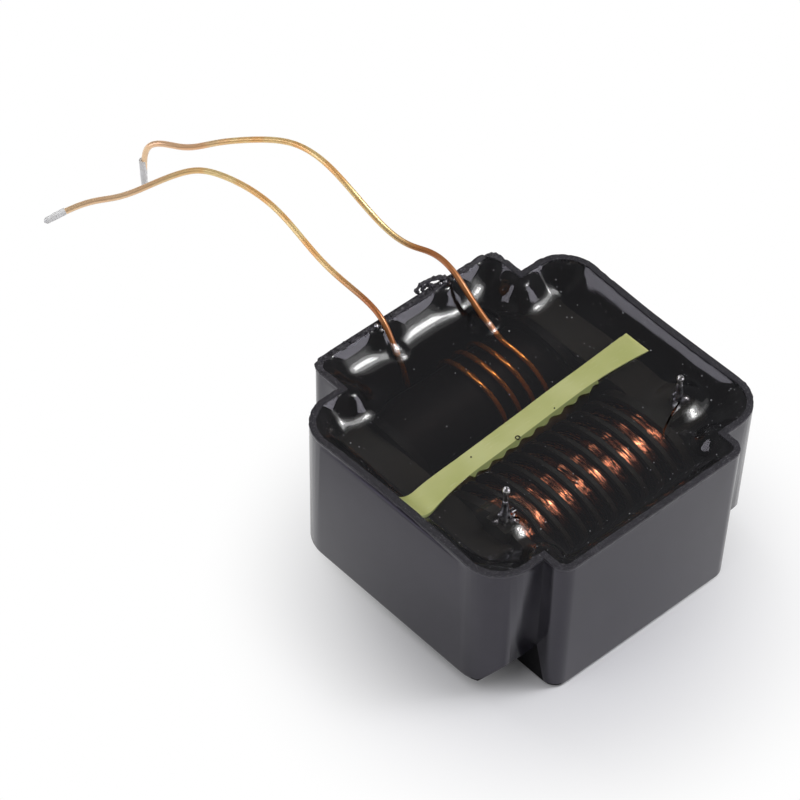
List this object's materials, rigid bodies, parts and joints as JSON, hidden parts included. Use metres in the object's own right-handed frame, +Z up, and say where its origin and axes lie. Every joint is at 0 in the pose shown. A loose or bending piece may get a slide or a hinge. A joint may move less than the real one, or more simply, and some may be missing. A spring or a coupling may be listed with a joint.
{
  "type": "potted high-voltage transformer",
  "caption": "Open plastic box potted with clear resin over a U-core transformer, with two output pins and two stiff primary leads over the rim.",
  "frame": {"origin": "centre of the case's flat base", "axes": "+Z up out of the open side, +X along both coils, +Y from the secondary coil to the primary coil and its leads"},
  "size_m": [0.0611, 0.112, 0.0405],
  "materials": {
    "case_plastic": "satin moulded black plastic with a fine grain and a ragged rim",
    "resin": "clear dark amber epoxy, glossy, with bubbles and dust",
    "ferrite": "dark grey sintered ferrite",
    "spacer_film": "thin cream film",
    "bobbin_plastic": "black moulded plastic",
    "fine_copper": "fine enamelled copper wire, wound in layers",
    "enamelled_wire": "copper wire with a glossy red-brown enamel",
    "insulation": "thin yellow-green translucent sheet",
    "tinned_pin": "tinned round pin",
    "solder": "dull solder with a lumpy surface"
  },
  "bodies": {
    "root": {"case": "case_plastic", "potting_resin": "resin", "core_half_left": "ferrite", "core_half_right": "ferrite", "gap_spacer_front": "spacer_film", "gap_spacer_back": "spacer_film", "secondary_bobbin": "bobbin_plastic", "secondary_winding": "fine_copper", "primary_bobbin": "bobbin_plastic", "primary_winding": "enamelled_wire", "lead_tip_left": "solder", "lead_tip_right": "solder", "insulation_sheet": "insulation", "output_pin_left": "tinned_pin", "output_pin_right": "tinned_pin", "pin_solder_left": "solder", "pin_solder_right": "solder"}
  },
  "joints": []
}
